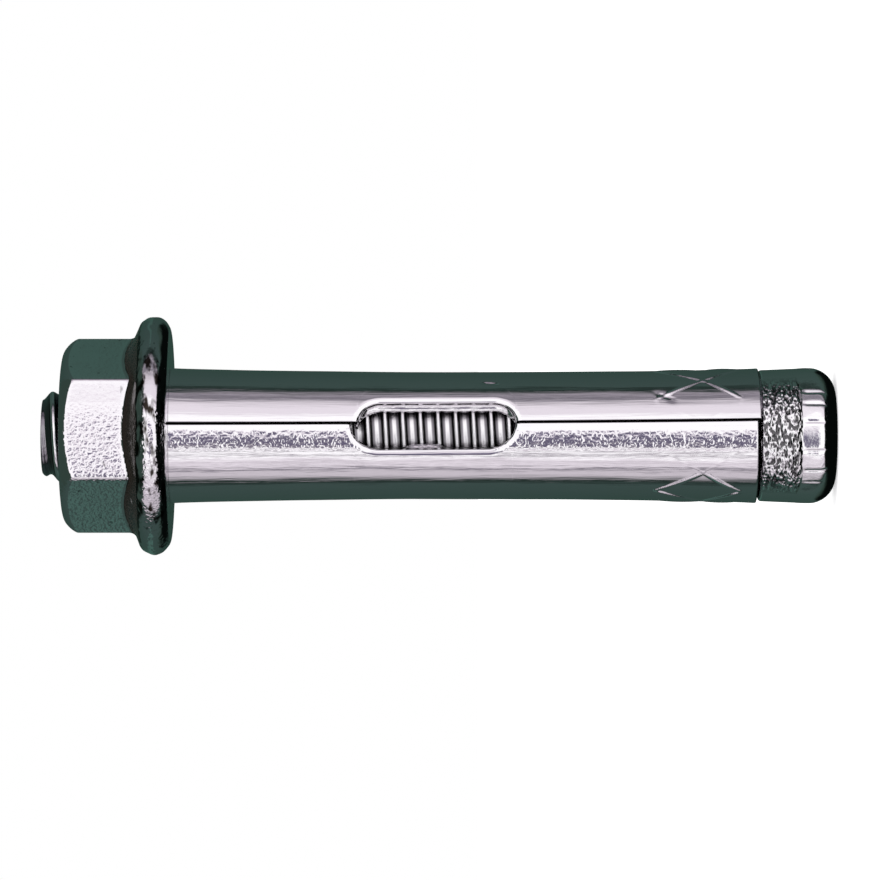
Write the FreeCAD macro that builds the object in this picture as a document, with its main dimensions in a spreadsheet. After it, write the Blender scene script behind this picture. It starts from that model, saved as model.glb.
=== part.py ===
import FreeCAD, Part

import math
import os

import Sketcher

# Sleeve anchor for an 8 mm hole, standing on the cone end of its stud, with +Z up the stud.
# The origin is the centre of the cone's end face. All lengths are in millimetres, all angles in degrees.
# An angle round the axis is counted from -Y towards +X.

SIZES = {
    # stud
    "stud_protrusion": 1.0,
    "thread_clearance": 0.1,
    "thread_pitch": 1.0,
    "thread_start": 12.0,
    "neck_step": 0.3,
    "stud_end_taper": 2.0,
    # cone head of the stud
    "head_diameter": 7.76,
    "shoulder_diameter": 7.54,
    "head_height": 4.3,
    "head_band_height": 1.8,
    "head_end_round": 1.55,
    "cone_angle": 20.0,
    "cone_clearance": 0.1,
    "facet_count": 24,
    "facet_depth": 0.045,
    # sleeve
    "sleeve_diameter": 7.7,
    "sleeve_wall": 0.8,
    "sleeve_end_gap": 0.2,
    "sleeve_top_clearance": 0.05,
    "mouth_land": 0.25,
    "seam_gap": 0.17,
    "seam_angle": 12.0,
    "seam_mismatch": 0.3,
    # window in the sleeve, punched as one half in each edge of the seam
    "window_height": 22.93,
    "window_length": 9.2,
    "window_angle_above": 19.3,
    "window_angle_below": 25.8,
    # nut
    "nut_seat_height": 37.9,
    "nut_height": 6.3,
    "nut_across_flats": 9.8,
    "nut_corner_round": 0.3,
    "nut_crown_radius": 1.3,
    "nut_bore_clearance": 0.05,
    "nut_countersink": 0.35,
    "nut_angle": 4.5,
    "flange_diameter": 13.65,
    "flange_rim_thickness": 1.9,
    "flange_rise": 0.58,
}

# Depth of a 60 degree metric thread as a share of its pitch
THREAD_DEPTH_SHARE = 0.6134

# Two places nearer than this are the same place
SAME_PLACE = 1e-6

# Directions of the hexagon's corners, with one flat towards -Y
HEXAGON_CORNERS = [-120, -60, 0, 60, 120, 180]

NUT_TOP = "(Sizes.nut_seat_height + Sizes.nut_height)"

# Inner radius of the sleeve at its cone end, where its wall is bevelled to a narrow land
MOUTH_RADIUS = "(Sizes.sleeve_diameter / 2 - Sizes.mouth_land)"

BORE_RADIUS = "(Sizes.sleeve_diameter / 2 - Sizes.sleeve_wall)"

THREAD_RADIUS = f"({BORE_RADIUS} - Sizes.thread_clearance)"


def make_sheet(doc):
    """The driving sizes, one plain number and one alias in each row."""
    sheet = doc.addObject("Spreadsheet::Sheet", "Sizes")
    for row, (name, value) in enumerate(SIZES.items(), start=1):
        sheet.set(f"A{row}", name)
        sheet.set(f"B{row}", str(value))
        sheet.setAlias(f"B{row}", name)
    doc.recompute()
    return sheet


def make_body(doc, label, turn=None):
    """An empty body, turned about +Z by a size from the sheet."""
    body = doc.addObject("PartDesign::Body", label)
    body.Label = label
    # a turn of one degree fixes +Z as the axis, and the sheet then sets its angle
    upright = FreeCAD.Rotation(FreeCAD.Vector(0, 0, 1), 1 if turn else 0)
    body.Placement = FreeCAD.Placement(FreeCAD.Vector(), upright)
    if turn:
        body.setExpression("Placement.Rotation.Angle", turn)
    return body


def make_sketch(body, name, role, offset=None):
    """A sketch on one of the body's own origin planes, moved along its normal by an expression."""
    sketch = body.newObject("Sketcher::SketchObject", name)
    plane = next(item for item in body.Origin.OriginFeatures if item.Role == role)
    sketch.AttachmentSupport = [(plane, "")]
    sketch.MapMode = "FlatFace"
    if offset:
        sketch.setExpression("AttachmentOffset.Base.z", offset)
    return sketch


def number(sketch, expression):
    """The present value of an expression, used to place geometry near where its constraints hold it."""
    value = sketch.evalExpression(expression)
    return float(getattr(value, "Value", value))


def hold_point(sketch, geometry, point, place):
    """Hold a point of a curve at two coordinates. A coordinate of "0" lies on the sketch's own axis."""
    for kind, expression, axis in (("DistanceX", place[0], -2), ("DistanceY", place[1], -1)):
        if expression == "0":
            sketch.addConstraint(Sketcher.Constraint("PointOnObject", geometry, point, axis))
            continue
        value = number(sketch, expression)
        index = sketch.addConstraint(Sketcher.Constraint(kind, -1, 1, geometry, point, value))
        sketch.setExpression(f"Constraints[{index}]", expression)


def add_arc(sketch, start, end, centre, anticlockwise):
    """An arc from start to end. It is stored anticlockwise, so its ends may be the other way round."""
    first, last = (start, end) if anticlockwise else (end, start)
    angles = [math.atan2(point.y - centre.y, point.x - centre.x) for point in (first, last)]
    circle = Part.Circle(centre, FreeCAD.Vector(0, 0, 1), (start - centre).Length)
    return sketch.addGeometry(Part.ArcOfCircle(circle, *angles))


def draw_outline(sketch, corners, arcs=None):
    """A closed outline through the corners, each a pair of expressions.

    arcs holds, for the corner where a round stretch starts, its centre and whether it turns anticlockwise.
    Such a stretch is a quarter or a half of a circle, so it ends level with its centre or in line above it.
    """
    arcs = arcs or {}
    START, END, CENTRE = 1, 2, 3
    points = [FreeCAD.Vector(number(sketch, across), number(sketch, up), 0) for across, up in corners]
    curves = []
    for index, start in enumerate(points):
        end = points[(index + 1) % len(points)]
        if index in arcs:
            place, anticlockwise = arcs[index]
            centre = FreeCAD.Vector(number(sketch, place[0]), number(sketch, place[1]), 0)
            geometry = add_arc(sketch, start, end, centre, anticlockwise)
            curves.append((geometry, START, END) if anticlockwise else (geometry, END, START))
        else:
            curves.append((sketch.addGeometry(Part.LineSegment(start, end)), START, END))
    for index, (geometry, first, last) in enumerate(curves):
        following, next_first, _ = curves[(index + 1) % len(curves)]
        sketch.addConstraint(Sketcher.Constraint("Coincident", geometry, last, following, next_first))
        if index - 1 not in arcs:
            hold_point(sketch, geometry, first, corners[index])
        if index in arcs:
            place = arcs[index][0]
            in_line = corners[(index + 1) % len(corners)][0] == place[0]
            hold_point(sketch, geometry, CENTRE, place)
            kind = "Vertical" if in_line else "Horizontal"
            sketch.addConstraint(Sketcher.Constraint(kind, geometry, CENTRE, geometry, last))


def turn_profile(body, name, sketch, kind):
    """Turn a profile a full circle about the sketch's upright axis, as a Revolution or a Groove."""
    feature = body.newObject(f"PartDesign::{kind}", name)
    feature.Profile = sketch
    feature.ReferenceAxis = (sketch, ["V_Axis"])
    feature.Angle = 360
    return feature


def make_stud(doc):
    """The stud: cone head with flats, expansion cone, neck and thread blank, turned from one profile."""
    body = make_body(doc, "anchor_stud")
    head = "Sizes.head_diameter / 2"
    flat = f"{head} - Sizes.head_end_round"
    top = f"({NUT_TOP} + Sizes.stud_protrusion)"
    base = f"({MOUTH_RADIUS} + Sizes.sleeve_end_gap * tan(Sizes.cone_angle) - Sizes.cone_clearance)"
    thread = THREAD_RADIUS
    neck = f"({thread} - Sizes.neck_step)"
    thread_depth = f"{THREAD_DEPTH_SHARE} * Sizes.thread_pitch"
    cone_top = f"Sizes.head_height + ({base} - {neck}) / tan(Sizes.cone_angle)"
    corners = [
        ("0", "0"),
        (flat, "0"),
        (head, "Sizes.head_end_round"),
        (head, "Sizes.head_band_height"),
        ("Sizes.shoulder_diameter / 2", "Sizes.head_height"),
        (base, "Sizes.head_height"),
        (neck, cone_top),
        (neck, f"Sizes.thread_start - ({thread} - {neck})"),
        (thread, "Sizes.thread_start"),
        (thread, f"{top} - Sizes.stud_end_taper"),
        (f"{thread} - {thread_depth}", top),
        ("0", top),
    ]
    profile = make_sketch(body, "StudProfile", "XZ_Plane")
    draw_outline(profile, corners, {1: ((flat, "Sizes.head_end_round"), True)})
    turn_profile(body, "StudBlank", profile, "Revolution")
    doc.recompute()

    # one flat along the head, cut off as a thin segment, and its copies round the axis
    plane_at = f"({head} - Sizes.facet_depth)"
    half_width = f"{head} * tan(360 / Sizes.facet_count)"
    sketch = make_sketch(body, "FacetSketch", "XY_Plane")
    draw_outline(sketch, [
        (f"-({half_width})", f"-{plane_at}"),
        (f"-({half_width})", f"-({head} + Sizes.facet_depth)"),
        (half_width, f"-({head} + Sizes.facet_depth)"),
        (half_width, f"-{plane_at}"),
    ])
    facet = body.newObject("PartDesign::Pocket", "Facet")
    facet.Profile = sketch
    facet.Reversed = True
    facet.setExpression("Length", "Sizes.head_height")
    doc.recompute()
    pattern = body.newObject("PartDesign::PolarPattern", "Facets")
    pattern.Originals = [facet]
    pattern.Axis = (sketch, ["N_Axis"])
    pattern.Angle = 360
    pattern.setExpression("Occurrences", "Sizes.facet_count")
    body.Tip = pattern
    return body


def make_sleeve(doc):
    """The rolled sleeve: a tube with a bevelled mouth, an open seam and a window across the seam."""
    body = make_body(doc, "expansion_sleeve", "Sizes.seam_angle")
    outer = "Sizes.sleeve_diameter / 2"
    bottom = "(Sizes.head_height + Sizes.sleeve_end_gap)"
    top = "Sizes.nut_seat_height - Sizes.sleeve_top_clearance"
    profile = make_sketch(body, "WallProfile", "XZ_Plane")
    draw_outline(profile, [
        (MOUTH_RADIUS, bottom),
        (outer, bottom),
        (outer, top),
        (BORE_RADIUS, top),
        (BORE_RADIUS, f"{bottom} + ({MOUTH_RADIUS} - {BORE_RADIUS}) / tan(Sizes.cone_angle)"),
    ])
    turn_profile(body, "Wall", profile, "Revolution")
    doc.recompute()

    seam = make_sketch(body, "SeamSketch", "XY_Plane")
    draw_outline(seam, [
        ("-Sizes.seam_gap / 2", "0"),
        ("-Sizes.seam_gap / 2", "-Sizes.sleeve_diameter"),
        ("Sizes.seam_gap / 2", "-Sizes.sleeve_diameter"),
        ("Sizes.seam_gap / 2", "0"),
    ])
    slit = body.newObject("PartDesign::Pocket", "Seam")
    slit.Profile = seam
    slit.Type = "ThroughAll"
    slit.Reversed = True
    doc.recompute()

    cut_half_window(body, "WindowAbove", "Sizes.window_angle_above", 1)
    doc.recompute()
    cut_half_window(body, "WindowBelow", "Sizes.window_angle_below", -1)
    doc.recompute()
    return body


def cut_half_window(body, name, angle, side):
    """One half of the window: a half obround whose walls run towards the axis, as a punched strip bends.

    It is ruled between a sketch inside the bore and one outside the sleeve, wider in step with the distance.
    """
    middle = f"(Sizes.window_height - {side} * Sizes.seam_mismatch / 2)"
    low = f"{middle} - Sizes.window_length / 2"
    high = f"{middle} + Sizes.window_length / 2"
    sketches = []
    for place, distance in (("Inner", f"({BORE_RADIUS} / 2)"), ("Outer", "Sizes.sleeve_diameter")):
        depth = f"({distance} * tan({angle}))"
        reach = f"({side} * {depth})"
        sketch = make_sketch(body, name + place, "XZ_Plane", distance)
        draw_outline(sketch, [
            ("0", low),
            (reach, f"{low} + {depth}"),
            (reach, f"{high} - {depth}"),
            ("0", high),
        ], {
            0: (("0", f"{low} + {depth}"), side > 0),
            2: (("0", f"{high} - {depth}"), side > 0),
        })
        sketches.append(sketch)
    loft = body.newObject("PartDesign::SubtractiveLoft", name)
    loft.Profile = sketches[0]
    loft.Sections = [sketches[1]]
    loft.Ruled = True


def make_nut(doc):
    """The flange nut: a hexagon with a rounded crown, which runs into a conical flange with a round rim."""
    body = make_body(doc, "flange_nut", "Sizes.nut_angle")
    seat = "Sizes.nut_seat_height"
    corner = "Sizes.nut_across_flats / sqrt(3)"
    hexagon = make_sketch(body, "HexagonSketch", "XY_Plane", seat)
    draw_outline(hexagon, [(f"{corner} * cos({a})", f"{corner} * sin({a})") for a in HEXAGON_CORNERS])
    pad = body.newObject("PartDesign::Pad", "Hexagon")
    pad.Profile = hexagon
    pad.setExpression("Length", "Sizes.nut_height")
    doc.recompute()
    fillet = body.newObject("PartDesign::Fillet", "HexagonCorners")
    fillet.Base = (pad, upright_edges(pad.Shape))
    fillet.setExpression("Radius", "Sizes.nut_corner_round")
    doc.recompute()

    rim_radius = "(Sizes.flange_rim_thickness / 2)"
    rim_centre = f"Sizes.flange_diameter / 2 - {rim_radius}"
    rim_top = f"{seat} + Sizes.flange_rim_thickness"
    flange = make_sketch(body, "FlangeProfile", "XZ_Plane")
    draw_outline(flange, [
        ("0", seat),
        (rim_centre, seat),
        (rim_centre, rim_top),
        ("Sizes.nut_across_flats / 2", f"{rim_top} + Sizes.flange_rise"),
        ("0", f"{rim_top} + Sizes.flange_rise"),
    ], {1: ((rim_centre, f"{seat} + {rim_radius}"), True)})
    turn_profile(body, "Flange", flange, "Revolution")
    doc.recompute()

    crown_flat = f"{corner} - Sizes.nut_crown_radius"
    crown_base = f"{NUT_TOP} - Sizes.nut_crown_radius"
    crown = make_sketch(body, "CrownProfile", "XZ_Plane")
    draw_outline(crown, [
        (corner, crown_base),
        (crown_flat, NUT_TOP),
        (crown_flat, f"{NUT_TOP} + Sizes.nut_crown_radius"),
        (f"{corner} + Sizes.nut_crown_radius", f"{NUT_TOP} + Sizes.nut_crown_radius"),
        (f"{corner} + Sizes.nut_crown_radius", crown_base),
    ], {0: ((crown_flat, crown_base), True)})
    turn_profile(body, "Crown", crown, "Groove")
    doc.recompute()

    bore = f"({THREAD_RADIUS} + Sizes.nut_bore_clearance)"
    hole = make_sketch(body, "BoreProfile", "XZ_Plane")
    draw_outline(hole, [
        ("0", seat),
        (f"{bore} + Sizes.nut_countersink", seat),
        (bore, f"{seat} + Sizes.nut_countersink"),
        (bore, f"{NUT_TOP} - Sizes.nut_countersink"),
        (f"{bore} + Sizes.nut_countersink", NUT_TOP),
        ("0", NUT_TOP),
    ])
    turn_profile(body, "Bore", hole, "Groove")
    return body


def upright_edges(shape):
    """Names of the straight edges that run along Z."""
    names = []
    for index, edge in enumerate(shape.Edges, start=1):
        along = edge.lastVertex().Point - edge.firstVertex().Point
        if abs(along.z) > SAME_PLACE and math.hypot(along.x, along.y) < SAME_PLACE:
            names.append(f"Edge{index}")
    return names


def check(doc, bodies):
    """Stop if any feature failed, or a body isn't one valid solid."""
    for item in doc.Objects:
        if "Invalid" in item.State or "Error" in item.State:
            raise RuntimeError(f"{item.Name} failed: {item.State}")
    for body in bodies:
        shape = body.Shape
        if shape.isNull() or not shape.isValid() or len(shape.Solids) != 1:
            raise RuntimeError(f"{body.Label} is not one valid solid")
        print(body.Label, "volume", round(shape.Volume, 3), "box", shape.BoundBox)


def main():
    doc = FreeCAD.newDocument("SleeveAnchor")
    make_sheet(doc)
    bodies = [make_stud(doc), make_sleeve(doc), make_nut(doc)]
    doc.recompute()
    check(doc, bodies)
    os.makedirs("parts", exist_ok=True)
    for body in bodies:
        body.Shape.exportStep(os.path.join("parts", f"{body.Label}.step"))


main()
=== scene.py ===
import math

import bpy
import numpy as np
from mathutils import Matrix, Vector


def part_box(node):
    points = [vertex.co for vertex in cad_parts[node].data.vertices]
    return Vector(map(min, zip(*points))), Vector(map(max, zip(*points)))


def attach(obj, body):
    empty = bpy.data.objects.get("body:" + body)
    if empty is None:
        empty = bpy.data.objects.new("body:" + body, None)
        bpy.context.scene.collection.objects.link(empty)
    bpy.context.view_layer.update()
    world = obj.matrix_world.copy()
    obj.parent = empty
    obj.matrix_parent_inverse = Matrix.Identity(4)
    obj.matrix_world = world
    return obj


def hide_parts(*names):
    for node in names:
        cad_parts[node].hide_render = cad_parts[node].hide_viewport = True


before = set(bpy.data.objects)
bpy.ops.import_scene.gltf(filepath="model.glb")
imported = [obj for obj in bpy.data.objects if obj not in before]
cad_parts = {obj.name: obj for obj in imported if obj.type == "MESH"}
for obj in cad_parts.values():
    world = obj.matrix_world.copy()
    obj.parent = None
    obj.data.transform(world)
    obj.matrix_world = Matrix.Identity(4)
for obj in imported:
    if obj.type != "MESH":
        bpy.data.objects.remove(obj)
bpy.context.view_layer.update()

# A sleeve anchor in bright zinc plated steel: a stud with a cone head, a rolled sleeve with a window across
# its seam, and a flange nut. Lengths here are in millimetres and become metres when a mesh is made.
# An angle round the axis is counted from -Y towards +X, in degrees.

MM = 0.001

# Places and radii from the frame
STUD_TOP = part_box("anchor_stud")[1].z / MM
SLEEVE_LOW, SLEEVE_HIGH = (corner.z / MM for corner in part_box("expansion_sleeve"))
SLEEVE_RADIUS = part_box("expansion_sleeve")[1].x / MM
SEAT, NUT_TOP = (corner.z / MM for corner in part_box("flange_nut"))
FLANGE_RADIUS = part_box("flange_nut")[1].x / MM

# Head of the stud
HEAD_RADIUS = 3.88
SHOULDER_RADIUS = 3.77
HEAD_HEIGHT = 4.37
BAND_HEIGHT = 1.8
END_ROUND = 1.55
SHOULDER_STEPS = [(0.01, -0.07), (0.04, -0.02), (0.1, 0.01)]  # less radius and more height than the edge
CONE_BASE_RADIUS = 3.573
CONE_RISE = 0.04
CONE_ANGLE = 20
NECK_RADIUS = 2.65
THREAD_START = 11.7
HEAD_COLUMNS = 384
SHANK_COLUMNS = 96

# Flats pressed round the head's end, and the rough skin over them. A fade holds the two ends of a smooth
# step, and a grain the cells round the axis, the cell's height and the seed.
FACET_EDGES = [-44.7, -31.7, -13.3, 12.4, 28.8, 41.0]
FACETS_BEHIND = 18
FACET_FLATNESS = 0.4
FACET_DEPTH = 0.09
FACET_DEPTH_FADE = 42, 70
FACET_UNEVENNESS, FACET_GRAIN = 0.008, (64, 0.6, 13)
FACET_ROUNDING = 0.04
FACET_LOW_FADE = 0.5, 1.2
FACET_TOP = 2.15
FACET_TOP_FADE = -0.32, 0.28
CREASE_DEPTH = 0.07
CREASE_WIDTH = 0.1
CREASE_FADE = 40, 46
FACET_SCALLOP = 4
SKIN_DEPTH = 0.03
SKIN_LAYERS = [(0.6, 60, 0.18, 11), (0.4, 96, 0.12, 12)]
SKIN_FADE = 0.45, 0.75
STRUCK_FROM, STRUCK_FULL = 1.9, 2.8

# Thread: rolled, right-handed, with narrow crests and round roots
PITCH = 1.0
CREST_RADIUS = 2.95
CREST_WIDTH = 0.18
ROOT_ROUND = 0.75
ROOT_HALF_WIDTH = 0.45
CREST_ROUNDING, ROOT_ROUNDING = 0.1, 0.04
FLANK_ANGLE = 15
THREAD_PHASE = 0.594
THREAD_DEPTH = 0.49
THREAD_FADE = THREAD_START - 0.2, THREAD_START + 1.0

# The thread's worn end, which stands out of the nut
END_RADIUS = 2.36
END_TAPER = 0.3
END_RIDGES = 0.3
END_SHIFT = 0.16
END_FADE = NUT_TOP - 1.0, NUT_TOP - 0.8
# Painted shade on the worn end: the share of the groove's colours in its valleys, fading in from the crests,
# and at the tip
END_VALLEY_SHADE, END_VALLEY_SHADE_FADE = 0.93, (0.1, 0.3)
TIP_SHADE, TIP_FADE = 0.97, (STUD_TOP - 0.5, STUD_TOP - 0.3)
TIP_RADIUS = END_RADIUS - 0.2
TIP_SLOPE = 1.4
TIP_ROUNDING = 0.25

# Sleeve. Over and under its deepest place the waist goes with (1 - share ** inner) ** outer, and the pairs
# hold the outer and the inner power. Swells hold depth, cells round the axis, cell height and seed.
PER_DEGREE = math.pi / 180 * SLEEVE_RADIUS
WALL = 0.8
MOUTH_RADIUS = 3.6
THREAD_ROOM = 2.98
SEAM_ANGLE = 12
SEAM_GAP = 0.17
SEAM_MISMATCH = 0.26
MISMATCH_LOST = 0.3
UPPER_EDGE_SHARE = 0.35
SEAM_LEAN = 0.1
END_REACH = 0.05
TOP_REACH = 0.048
WINDOW_MIDDLE = 22.78
WINDOW_ABOVE, LENGTH_ABOVE = 1.31, 8.9
WINDOW_BELOW, LENGTH_BELOW = 1.66, 9.37
LIP_WIDTH = 0.3
LIP_SLOPE = 0.33
EDGE_ROUND = 0.09
WALL_DRAFT = 0.38
WAIST_DEPTH = 0.225
WAIST_HEIGHT = 24.1
WAIST_ABOVE, WAIST_BELOW = (0.75, 1.3), (0.8, 2.4)
SWELLS = [(0.008, 16, 5.0, 21), (0.006, 40, 2.2, 22)]
SLEEVE_COLUMNS = [(0, 0.245, 108), (0.245, 0.69, 101), (0.69, 1, 138)]  # share of the way round, and points
INNER_COLUMNS = 56
WALL_DEPTHS = [0.12, 0.3, 0.5, 0.7, 0.88]
SHUT = SEAM_GAP / 2 - 0.02

# The walls of the seam and the window: where the seam opens, by the notch's depth, the burr under the window
# between its heights, and how far across the wall each form fades
OPENING_FADE = 0.2, 0.6
BURR = 0.28
BURR_FROM, BURR_TO = (22.0, 22.5), (23.9, 24.6)
BURR_FADE = 0.3, 0.9
# How much less painted shade and roughness the burr and the window's upper wall get than the rest of the cut
# wall
BURR_SHINE, UPPER_WALL_SHINE = 2.5, 0.9
TEAR, TEAR_GRAIN = 0.03, (60, 0.35, 23)
SHUT_FADE = 0, 0.8
DRAFT_FADE = 0.1, 0.8

# Lattice of fine ribs near the sleeve's mouth
RIB_HEIGHT = 0.05
RIB_HALF_WIDTH = 0.1
RIB_CROSSING = 7.65
RIB_LOW, RIB_HIGH = 5.47, 10.36
RIB_CROSSING_ANGLE = 11
RIB_PERIOD = 45
RIB_FRONT, RIB_FRONT_FADE = 0.06, (29, 41)
RIB_SIDE, RIB_SIDE_FROM, RIB_SIDE_TO = 0.6, (54, 60), (70, 80)

# Small nicks: angle, height, half length, half width, lean from the axis in degrees, depth
NICKS = [(37, 9.8, 0.5, 0.15, 27, 0.06), (55, 19.75, 0.42, 0.12, 12, 0.07)]

# Nut
ACROSS_FLATS = 9.8
CORNER_ROUND = 0.3
FACE_BULGE = 0.05
CROWN_RADIUS = 1.3
BORE_RADIUS = 3.0
COUNTERSINK = 0.35
SEAT_RING = 0.45
RIM_THICKNESS = 1.85
RIM_END_ANGLE = 62
DENT_DEPTH, DENT_GRAIN = 0.03, (44, 0.4, 31)
DENT_FADE = -1.4, -0.9
NUT_HEIGHT_LESS = 0.15
FLANGE_RISE = 0.58
FILLET = 0.32
NUT_ANGLE = 4.5
DARK_ON_RIM, RIM_DARK_FADE = 0.34, (0.55, 0.8)
WORN_FROM, WORN_TO, WORN_SHARE = 1.9, 1.2, 0.15


# Small tools

def linear(code):
    """Linear colour of an sRGB hex code."""
    parts = [int(code[i:i + 2], 16) / 255 for i in (1, 3, 5)]
    return [c / 12.92 if c <= 0.04045 else ((c + 0.055) / 1.055) ** 2.4 for c in parts]


def around(radius, angle, height):
    """Points at a radius, an angle in degrees and a height."""
    turn = np.radians(angle)
    radius, turn, height = np.broadcast_arrays(radius, turn, height)
    return np.stack([radius * np.sin(turn), -radius * np.cos(turn), height], axis=-1)


def grid_faces(rows, columns, first=0, closed=True):
    """Quads of a grid of points stored row by row. Closed joins the last column to the first."""
    row = np.arange(rows - 1)[:, None] * columns + first
    column = np.arange(columns if closed else columns - 1)[None, :]
    following = (column + 1) % columns
    corners = [row + column, row + following, row + columns + following, row + columns + column]
    return np.stack(np.broadcast_arrays(*corners), axis=-1).reshape(-1, 4).tolist()


def fan_faces(ring, centre, outward):
    """Triangles from a ring of points to its centre."""
    following = np.roll(ring, -1)
    corners = [following, ring] if outward else [ring, following]
    return np.stack([*corners, np.full(len(ring), centre)], axis=-1).tolist()


def piece_from(name, points, faces, material, body, node):
    """A smooth piece that stands for a node of the frame and rides on its body."""
    mesh = bpy.data.meshes.new(name)
    mesh.from_pydata((points.reshape(-1, 3) * MM).tolist(), [], faces)
    mesh.polygons.foreach_set("use_smooth", np.ones(len(mesh.polygons), bool))
    mesh.validate()
    mesh.materials.append(material)
    piece = bpy.data.objects.new(name, mesh)
    bpy.context.scene.collection.objects.link(piece)
    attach(piece, body)
    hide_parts(node)
    return piece


def mark(piece, name, values):
    """Gives each point of a piece a value that its material reads by name."""
    piece.data.attributes.new(name, "FLOAT", "POINT").data.foreach_set("value", values.reshape(-1))


def smooth_step(low, high, value):
    """0 below low, 1 above high, and a smooth rise between them."""
    share = np.clip((value - low) / (high - low), 0, 1)
    return share * share * (3 - 2 * share)


def grain(angle, height, around_cells, cell_height, seed):
    """Value noise from -1 to 1 round the axis: random numbers on a lattice of cells, blended smoothly."""
    source = np.random.default_rng(seed)
    table = source.uniform(-1, 1, (256, around_cells))
    across = np.mod(angle / 360, 1) * around_cells
    up = height / cell_height
    column, row = np.floor(across).astype(int), np.floor(up).astype(int)
    s, t = across - column, up - row
    s, t = s * s * (3 - 2 * s), t * t * (3 - 2 * t)

    def blend(row):
        before, after = (table[row % len(table), place % around_cells] for place in (column, column + 1))
        return (1 - s) * before + s * after

    return (1 - t) * blend(row) + t * blend(row + 1)


def layered_grain(angle, height, layers):
    """The sum of several noises. A layer says its depth, cells round the axis, cell height and seed."""
    return sum(depth * grain(angle, height, *cells) for depth, *cells in layers)


def from_front(angle):
    """How far an angle is from the front, 0 to 180 degrees."""
    return np.abs(np.mod(angle + 180, 360) - 180)


def soft_min(one, other, width):
    """The smaller of two values, rounded where they are nearer to each other than the width."""
    overlap = np.maximum(width - np.abs(one - other), 0) / width
    return np.minimum(one, other) - overlap * overlap * width / 4


def soft_max(one, other, width):
    """The larger of two values, rounded in the same way."""
    overlap = np.maximum(width - np.abs(one - other), 0) / width
    return np.maximum(one, other) + overlap * overlap * width / 4


# Stud

def crest_distance(angle, height):
    """Height in mm from a point to the nearest crest of the right-handed helix."""
    crest_at = PITCH * (angle / 360 + THREAD_PHASE)
    return np.abs(np.mod(height - crest_at + PITCH / 2, PITCH) - PITCH / 2)


def thread_radius(from_crest):
    """Radius of the thread: narrow crest, steep flanks and a hollow root."""
    from_root = np.minimum(PITCH / 2 - from_crest, ROOT_HALF_WIDTH)
    flank = CREST_RADIUS - (from_crest - CREST_WIDTH / 2) / math.tan(math.radians(FLANK_ANGLE))
    root = CREST_RADIUS - THREAD_DEPTH + ROOT_ROUND - np.sqrt(ROOT_ROUND ** 2 - from_root ** 2)
    groove = soft_max(flank, root, ROOT_ROUNDING)
    return soft_min(groove, np.full_like(groove, CREST_RADIUS), CREST_ROUNDING)


def facet_radius(angle):
    """Radius of the flats pressed round the head's end, chords of the head, and the depth of the creases
    between them."""
    last, first = FACET_EDGES[-1], FACET_EDGES[0] + 360
    edges = np.concatenate([FACET_EDGES, np.linspace(last, first, FACETS_BEHIND + 1)[1:]])
    local = np.mod(angle - edges[0], 360) + edges[0]
    index = np.clip(np.searchsorted(edges, local, side="right") - 1, 0, len(edges) - 2)
    middle = (edges[index] + edges[index + 1]) / 2
    half = (edges[index + 1] - edges[index]) / 2
    chord = HEAD_RADIUS * np.cos(np.radians(half)) / np.cos(np.radians(local - middle))
    from_crease = (half - np.abs(local - middle)) * math.pi / 180 * HEAD_RADIUS
    return chord, CREASE_DEPTH * np.exp(-(from_crease / CREASE_WIDTH) ** 2)


def stud_head_profile():
    """Radii and heights from the end face up to the neck: flat end, quarter round, band, shoulder, cone."""
    flat = HEAD_RADIUS - END_ROUND
    bend = np.radians(np.linspace(-90, 0, 16))
    side_rows = np.linspace(END_ROUND + 0.06, HEAD_HEIGHT - 0.12, 55)
    slope = (HEAD_RADIUS - SHOULDER_RADIUS) / (HEAD_HEIGHT - BAND_HEIGHT)
    side = HEAD_RADIUS - np.maximum(side_rows - BAND_HEIGHT, 0) * slope
    steps = np.array(SHOULDER_STEPS)
    cone = np.linspace(0, 1, 8)[1:]
    drop = CONE_BASE_RADIUS - NECK_RADIUS
    cone_height = drop / math.tan(math.radians(CONE_ANGLE))
    radii = np.concatenate([
        [0.8, 1.6, flat - 0.1],
        flat + END_ROUND * np.cos(bend),
        side,
        SHOULDER_RADIUS - steps[:, 0],
        [CONE_BASE_RADIUS - 0.02],
        CONE_BASE_RADIUS - drop * cone,
        [NECK_RADIUS, NECK_RADIUS],
    ])
    heights = np.concatenate([
        [0, 0, 0],
        END_ROUND + END_ROUND * np.sin(bend),
        side_rows,
        HEAD_HEIGHT + steps[:, 1],
        [HEAD_HEIGHT + CONE_RISE],
        HEAD_HEIGHT + CONE_RISE + (cone_height - CONE_RISE) * cone,
        [(HEAD_HEIGHT + cone_height + THREAD_START) / 2, THREAD_START - 0.4],
    ])
    return radii, heights


def thread_rows():
    """Heights of the thread's rows, closest where it is seen: in the window and at the end."""
    seen = LENGTH_BELOW / 2 + 0.3
    low, high = WINDOW_MIDDLE - seen, WINDOW_MIDDLE + seen
    ends = [THREAD_START - 0.3, low, high, NUT_TOP - 0.5, STUD_TOP]
    per_mm = [10, 30, 10, 30]
    runs = [np.arange(a, b - 0.5 / n, 1 / n) for a, b, n in zip(ends, ends[1:], per_mm)]
    return np.append(np.concatenate(runs), STUD_TOP)


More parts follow.
